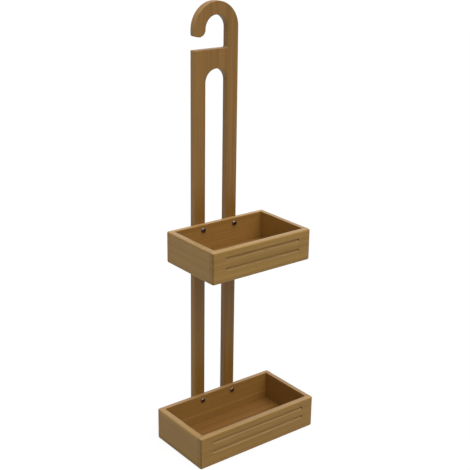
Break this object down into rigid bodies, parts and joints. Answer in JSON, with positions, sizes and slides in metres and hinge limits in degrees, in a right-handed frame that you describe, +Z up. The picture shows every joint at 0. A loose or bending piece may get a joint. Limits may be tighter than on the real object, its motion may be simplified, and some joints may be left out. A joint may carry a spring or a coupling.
{
  "type": "shower caddy",
  "caption": "Hanging bamboo shower caddy: a tall flat hanger board with a hook, two slotted legs, and open rectangular baskets bolted to their front.",
  "frame": {"origin": "middle of the footprint, on the plane of the lower basket's underside and the feet of the legs", "axes": "+Z up along the hanger board, -Y towards the baskets' front, +Y towards the wall, +X to the right seen from the front"},
  "size_m": [0.254, 0.146, 0.7689],
  "materials": {
    "hanger_bamboo": "satin lacquered carbonised bamboo",
    "basket_bamboo": "satin lacquered carbonised bamboo",
    "panel_bamboo": "satin lacquered carbonised bamboo",
    "dowel_wood": "raw turned hardwood",
    "bolt_steel": "polished nickel-plated steel",
    "nut_alloy": "dull zinc alloy"
  },
  "bodies": {
    "root": {"hanger_board": "hanger_bamboo", "upper_front_board": "basket_bamboo", "upper_back_board": "basket_bamboo", "upper_left_board": "basket_bamboo", "upper_right_board": "basket_bamboo", "upper_bottom_panel": "panel_bamboo", "lower_front_board": "basket_bamboo", "lower_back_board": "basket_bamboo", "lower_left_board": "basket_bamboo", "lower_right_board": "basket_bamboo", "lower_bottom_panel": "panel_bamboo", "upper_bolt_left": "bolt_steel", "upper_bolt_right": "bolt_steel", "upper_insert_nut_left": "nut_alloy", "upper_insert_nut_right": "nut_alloy", "lower_bolt_left": "bolt_steel", "lower_bolt_right": "bolt_steel", "lower_insert_nut_left": "nut_alloy", "lower_insert_nut_right": "nut_alloy", "upper_dowel_front_left_low": "dowel_wood", "upper_dowel_front_left_high": "dowel_wood", "upper_dowel_front_right_low": "dowel_wood", "upper_dowel_front_right_high": "dowel_wood", "upper_dowel_back_left_low": "dowel_wood", "upper_dowel_back_left_high": "dowel_wood", "upper_dowel_back_right_low": "dowel_wood", "upper_dowel_back_right_high": "dowel_wood", "lower_dowel_front_left_low": "dowel_wood", "lower_dowel_front_left_high": "dowel_wood", "lower_dowel_front_right_low": "dowel_wood", "lower_dowel_front_right_high": "dowel_wood", "lower_dowel_back_left_low": "dowel_wood", "lower_dowel_back_left_high": "dowel_wood", "lower_dowel_back_right_low": "dowel_wood", "lower_dowel_back_right_high": "dowel_wood"}
  },
  "joints": []
}
